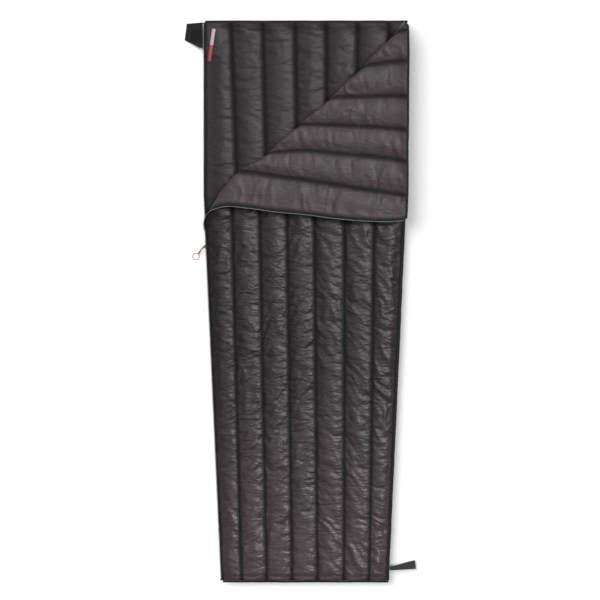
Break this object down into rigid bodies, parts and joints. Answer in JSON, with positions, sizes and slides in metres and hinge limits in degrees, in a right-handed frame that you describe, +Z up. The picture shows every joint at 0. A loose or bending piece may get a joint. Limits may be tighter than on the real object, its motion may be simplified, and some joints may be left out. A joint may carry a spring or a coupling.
{
  "type": "down sleeping bag",
  "caption": "Flat tapered down sleeping bag quilted in lengthwise channels, unzipped along its side with the upper corner folded back to show the lining.",
  "frame": {"origin": "on the floor under the middle of the body, at the flat underside of the middle channel", "axes": "+Y towards the head end, +Z up from the floor it lies on, +X towards the closed right side; the zip is on the left"},
  "size_m": [0.8476, 2.05, 0.0924],
  "materials": {
    "shell": "thin downproof nylon, slightly glossy, crinkled",
    "lining": "thin nylon lining, soft sheen",
    "down": "loose down, hidden inside the channels",
    "trim": "dark woven binding, zip tape and webbing",
    "coil": "light grey nylon coil",
    "cord": "orange braided cord",
    "metal": "dark lacquered metal",
    "hook": "black hook-and-loop",
    "label": "plain woven label, white and red halves, no lettering"
  },
  "bodies": {
    "quilt": {"under_shell": "shell", "under_lining": "lining", "under_down_1": "down", "under_down_2": "down", "under_down_3": "down", "under_down_4": "down", "under_down_5": "down", "under_down_6": "down", "under_down_7": "down", "head_binding_under": "trim", "side_label": "label", "top_shell": "shell", "top_lining": "lining", "top_down_1": "down", "top_down_2": "down", "top_down_3": "down", "top_down_4": "down", "top_down_5": "down", "top_down_6": "down", "top_down_7": "down", "side_binding": "trim", "foot_binding": "trim", "zip_tape_under": "trim", "zip_tape_top": "trim", "zip_chain_closed": "coil", "zip_coil_under": "coil", "zip_coil_top": "coil", "zip_stop_foot": "metal", "zip_stop_under": "metal"},
    "flap": {"flap_shell": "shell", "flap_lining": "lining", "flap_down_1": "down", "flap_down_2": "down", "flap_down_3": "down", "flap_down_4": "down", "flap_down_5": "down", "flap_down_6": "down", "flap_head_binding": "trim", "zip_tape_flap": "trim", "zip_coil_flap": "coil", "zip_stop_flap": "metal", "closure_loop_patch": "hook"},
    "slider": {"zip_slider": "metal"},
    "puller": {"zip_puller": "metal", "puller_cord": "cord", "cord_sleeve": "cord"},
    "tab": {"closure_tab": "trim", "closure_hook_patch": "hook"},
    "foot_loop": {"foot_hang_loop": "trim"}
  },
  "joints": [
    {"name": "flap_fold", "type": "hinge", "parent": "quilt", "child": "flap", "pos_m": [0.371, 1.025, 0.0616], "axis": [-0.7071, -0.7071, 0], "range_deg": [0, 180]},
    {"name": "zip_slide", "type": "slide", "parent": "quilt", "child": "slider", "axis": [-0.0459, 0.9989, 0], "range_m": [-1.2, 0.175]},
    {"name": "puller_swing", "type": "hinge", "parent": "slider", "child": "puller", "pos_m": [-0.36786, 0.19941, 0.03065], "axis": [0, 0, 1], "range_deg": [-130, 35]},
    {"name": "tab_fold", "type": "hinge", "parent": "quilt", "child": "tab", "pos_m": [-0.372, 0.971, 0.03295], "axis": [0, 1, 0], "range_deg": [0, 158]},
    {"name": "foot_loop_lift", "type": "hinge", "parent": "quilt", "child": "foot_loop", "pos_m": [0.3103, -0.975, 0.03065], "axis": [0.1219, -0.9925, 0], "range_deg": [0, 108]}
  ]
}
